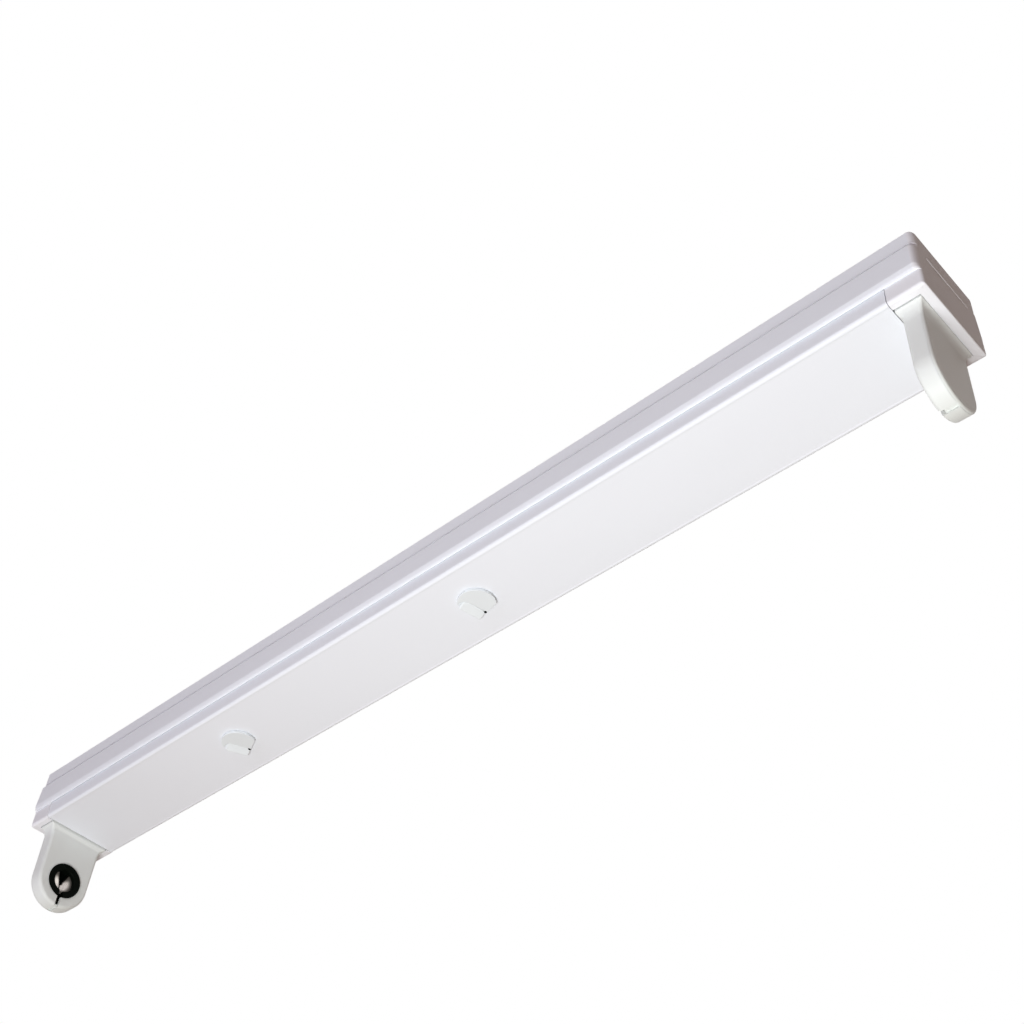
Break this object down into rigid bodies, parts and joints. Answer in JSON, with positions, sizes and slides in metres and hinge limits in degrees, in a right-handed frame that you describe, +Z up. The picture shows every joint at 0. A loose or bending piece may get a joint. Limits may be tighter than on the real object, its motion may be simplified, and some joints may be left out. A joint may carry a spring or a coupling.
{
  "type": "tube light fixture",
  "caption": "Ceiling batten for a straight tube lamp: folded white channel with drop cover, quarter-turn knobs and a rotary lampholder at each end.",
  "frame": {"origin": "centre of the top face that lies against the ceiling", "axes": "+Z up into the ceiling, +X along the length to the right lampholder, Y across the width"},
  "size_m": [0.6268, 0.0538, 0.0874],
  "materials": {
    "white_paint": "satin powder coat",
    "white_plastic": "satin moulded",
    "cap_plastic": "satin moulded",
    "black_plastic": "matt moulded",
    "contact_metal": "bright nickel over brass",
    "zinc_steel": "zinc plated",
    "spring_steel": "polished wire",
    "block_plastic": "matt moulded",
    "grommet_rubber": "matt",
    "brown_cable": "satin insulation",
    "blue_cable": "satin insulation",
    "green_cable": "satin insulation"
  },
  "bodies": {
    "body": {"base_channel": "white_paint", "end_cap_left": "cap_plastic", "end_cap_right": "cap_plastic", "holder_bracket_left": "zinc_steel", "holder_bracket_right": "zinc_steel", "holder_housing_left": "white_plastic", "holder_housing_right": "white_plastic", "holder_back_left": "white_plastic", "holder_back_right": "white_plastic", "holder_terminals_left": "contact_metal", "holder_terminals_right": "contact_metal", "holder_screws_left": "zinc_steel", "holder_screws_right": "zinc_steel", "latch_bracket_1": "zinc_steel", "latch_spring_1": "spring_steel", "latch_bracket_2": "zinc_steel", "latch_spring_2": "spring_steel", "cable_grommet": "grommet_rubber", "terminal_block": "block_plastic", "terminal_clamps": "contact_metal", "terminal_screws": "zinc_steel", "block_screws": "zinc_steel", "earth_tag": "contact_metal", "earth_washer": "zinc_steel", "earth_screw": "contact_metal", "wire_live": "brown_cable", "wire_neutral": "blue_cable", "wire_earth": "green_cable", "wire_clips": "block_plastic"},
    "cover": {"cover_tray": "white_paint"},
    "knob_1": {"cover_knob_1": "white_plastic", "knob_clip_1": "spring_steel"},
    "knob_2": {"cover_knob_2": "white_plastic", "knob_clip_2": "spring_steel"},
    "rotor_left": {"rotor_left": "black_plastic", "rotor_contacts_left": "contact_metal"},
    "rotor_right": {"rotor_right": "black_plastic", "rotor_contacts_right": "contact_metal"}
  },
  "joints": [
    {"name": "cover_drop", "type": "slide", "parent": "body", "child": "cover", "axis": [0, 0, -1], "range_m": [0, 0.06], "deforming": ["latch_spring_1", "latch_spring_2"]},
    {"name": "knob_1_turn", "type": "hinge", "parent": "cover", "child": "knob_1", "pos_m": [-0.1435, 0, -0.038], "axis": [0, 0, 1], "range_deg": [0, 90], "deforming": ["latch_spring_1"]},
    {"name": "knob_2_turn", "type": "hinge", "parent": "cover", "child": "knob_2", "pos_m": [0.0415, 0, -0.038], "axis": [0, 0, 1], "range_deg": [0, 90], "deforming": ["latch_spring_2"]},
    {"name": "rotor_left_turn", "type": "hinge", "parent": "body", "child": "rotor_left", "pos_m": [-0.296, 0, -0.0702], "axis": [1, 0, 0], "range_deg": [-90, 90]},
    {"name": "rotor_right_turn", "type": "hinge", "parent": "body", "child": "rotor_right", "pos_m": [0.296, 0, -0.0702], "axis": [1, 0, 0], "range_deg": [-90, 90]}
  ]
}
